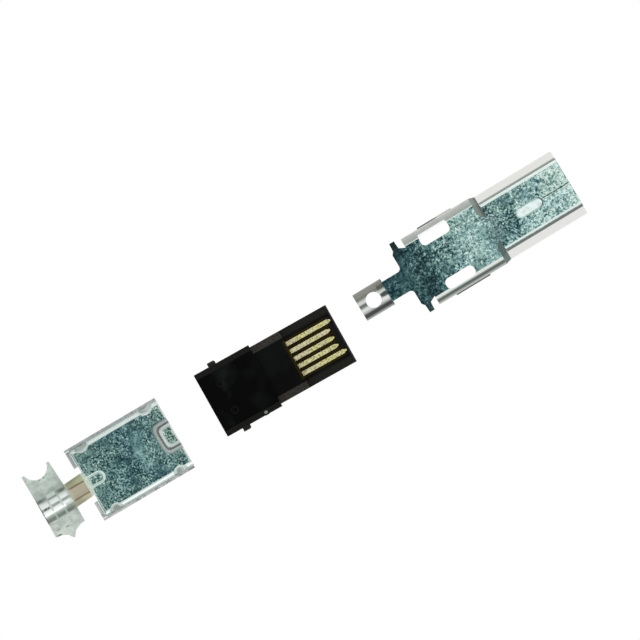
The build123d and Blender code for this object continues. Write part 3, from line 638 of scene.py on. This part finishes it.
def insulator_material():
    """Black moulded plastic with a slight gloss, and a painted reflection that is palest on the slanted
    sides of the nose.
    """
    plastic = Surface("insulator_black")
    x, y, z = plastic.measured_from(SHELF, INSULATOR_TURN)
    fine = plastic.noise(5.0, seed=2.0)
    on_nose = plastic.rise(x, INSULATOR_STEP)
    body = plastic.mix(fine, rgb(1, 1, 1), rgb(6, 6, 6))
    colour = plastic.mix(on_nose, body, plastic.mix(fine, rgb(4, 4, 4), rgb(13, 13, 12)))
    haze = plastic.rise(plastic.noise(0.5, seed=17.0, detail=2.0, roughness=0.5), (0.48, 0.72))
    haze = plastic.times(haze, plastic.between(x, -6.6, -5.0, 1.0, 0.4))
    colour = plastic.mix(haze, colour, rgb(20, 24, 23))

    # Snap bumps on the sides, and the rims of the two round marks
    bumps = plastic.rise(plastic.math("ABSOLUTE", y), (3.26, 3.32))
    colour = plastic.mix(bumps, colour, plastic.mix(fine, rgb(34, 36, 34), rgb(58, 60, 56)))
    for place in ROUND_MARKS:
        rim = plastic.cut(plastic.mark(x, y, place, (0.33, 0.33)), plastic.mark(x, y, place, (0.22, 0.22)))
        colour = plastic.mix(plastic.times(rim, 0.22), colour, rgb(44, 46, 44))
    colour = shelf(plastic, x, y, fine, colour)

    # Slanted sides: painted reflection, paler on the nose than on the body
    streaky = plastic.rise(plastic.noise(7.0, seed=5.0, roughness=0.8), MOTTLE)
    nose_side_reflection = plastic.mix(streaky, rgb(26, 26, 23), rgb(66, 62, 58))
    body_side_reflection = plastic.mix(streaky, rgb(10, 11, 10), rgb(26, 25, 23))
    slanted = plastic.fall(plastic.normal[2], (0.75, 0.95))
    colour = plastic.mix(slanted, colour, plastic.mix(on_nose, body_side_reflection, nose_side_reflection))

    # Gate mark, with a painted glint on it, on the upper slant only
    gate_glint = plastic.times(plastic.mark(x, y, GATE_MARK, (0.16, 0.13)), plastic.rise(z, (1.5, 2.0)))
    colour = plastic.mix(gate_glint, colour, rgb(134, 142, 130))
    plastic.shader.inputs["Specular IOR Level"].default_value = 0.03
    return plastic.finish(colour, 0.0, fine, (0.3, 0.45), PLASTIC_RELIEF)


def contact_material():
    """Flat contacts with a thin pale gold plating."""
    gold = Surface("contact_gold")
    clean = gold.rise(gold.noise(6.0, seed=3.0), (0.32, 0.62))
    tone = gold.rise(gold.noise(0.8, seed=19.0, detail=2.0, roughness=0.5), (0.38, 0.62))
    light = gold.mix(tone, rgb(224, 216, 184), rgb(226, 220, 162))
    dark = gold.mix(tone, rgb(136, 127, 84), rgb(136, 129, 70))
    gold.put(gold.shader.inputs["Base Color"], gold.mix(clean, dark, light))
    gold.shader.inputs["Metallic"].default_value = 1.0
    gold.shader.inputs["Roughness"].default_value = 0.3
    return gold.material


def dress(node, material):
    """Gives a node of the frame its material."""
    for slot in nodes[node].material_slots:
        slot.material = material


def add_floor():
    """A pale floor that shows white to the camera and in reflections."""
    bpy.ops.mesh.primitive_plane_add(size=FLOOR_SIZE, location=(0, 0, -FLOOR_GAP))
    floor = bpy.context.object
    floor.name = "floor"
    material = bpy.data.materials.new("floor_pale")
    material.use_nodes = True
    tree = Nodes(material.node_tree)
    rays = tree.node("ShaderNodeLightPath").outputs
    seen = tree.largest(rays["Is Camera Ray"], rays["Is Glossy Ray"])
    pale = tree.node("ShaderNodeBsdfDiffuse", {"Color": FLOOR_COLOUR})
    white = tree.node("ShaderNodeEmission", {"Color": WHITE, "Strength": 1.0})
    both = tree.node("ShaderNodeMixShader", {0: seen, 1: pale.outputs[0], 2: white.outputs[0]})
    tree.node("ShaderNodeOutputMaterial", {"Surface": both.outputs[0]})
    floor.data.materials.append(material)
    return floor


def add_world():
    """Soft studio surroundings, brighter overhead, and white behind what the camera sees."""
    world = bpy.data.worlds.new("studio")
    world.use_nodes = True
    tree = Nodes(world.node_tree)
    direction = tree.node("ShaderNodeTexCoord").outputs["Generated"]
    parts = tree.node("ShaderNodeSeparateXYZ", {"Vector": direction}).outputs
    around = tree.mix(tree.rise(parts[1], (-0.8, 0.4)), COOL_SIDE, WARM_SIDE)
    sky = tree.mix(tree.rise(parts[2], (0.80, 0.97)), around, OVERHEAD)
    seen = tree.node("ShaderNodeLightPath").outputs["Is Camera Ray"]
    background = tree.node("ShaderNodeBackground", {"Color": tree.mix(seen, sky, WHITE), "Strength": 1.0})
    tree.node("ShaderNodeOutputWorld", {"Surface": background.outputs[0]})
    scene.world = world


def add_softbox(name, place, size, radiance):
    """A square area light aimed at the row, given by how bright its face is."""
    light = bpy.data.lights.new(name, "AREA")
    light.shape = "SQUARE"
    light.size = size
    light.energy = radiance * math.pi * size**2
    lamp = bpy.data.objects.new(name, light)
    scene.collection.objects.link(lamp)
    lamp.location = place
    lamp.rotation_euler = (-Vector(place)).to_track_quat("-Z", "Y").to_euler()


def add_camera():
    """A long lens straight above the row, with the photograph's framing."""
    lens = bpy.data.cameras.new("camera")
    lens.type = "PERSP"
    lens.sensor_width = SENSOR
    lens.lens = SENSOR * CAMERA_HEIGHT / FRAME_WIDTH
    lens.clip_start = CLIP_START
    lens.clip_end = CLIP_END
    camera = bpy.data.objects.new("camera", lens)
    scene.collection.objects.link(camera)
    above = PHOTO_CENTRE + Vector((0, 0, CAMERA_HEIGHT))
    camera.matrix_world = Matrix.Translation(above) @ Matrix.Rotation(-ROW_ANGLE, 4, "Z")
    return camera


dress("front_shell", front_material())
dress("rear_shell", rear_material())
dress("insulator", insulator_material())
contact_gold = contact_material()
for number in range(1, 6):
    dress(f"contact_{number}", contact_gold)

floor = add_floor()
add_world()
add_softbox("key", place=(0.05, 0.42, 0.50), size=0.22, radiance=2.0)
add_softbox("fill", place=(-0.10, -0.50, 0.30), size=0.12, radiance=1.6)
scene.camera = add_camera()
scene.view_settings.view_transform = "Standard"
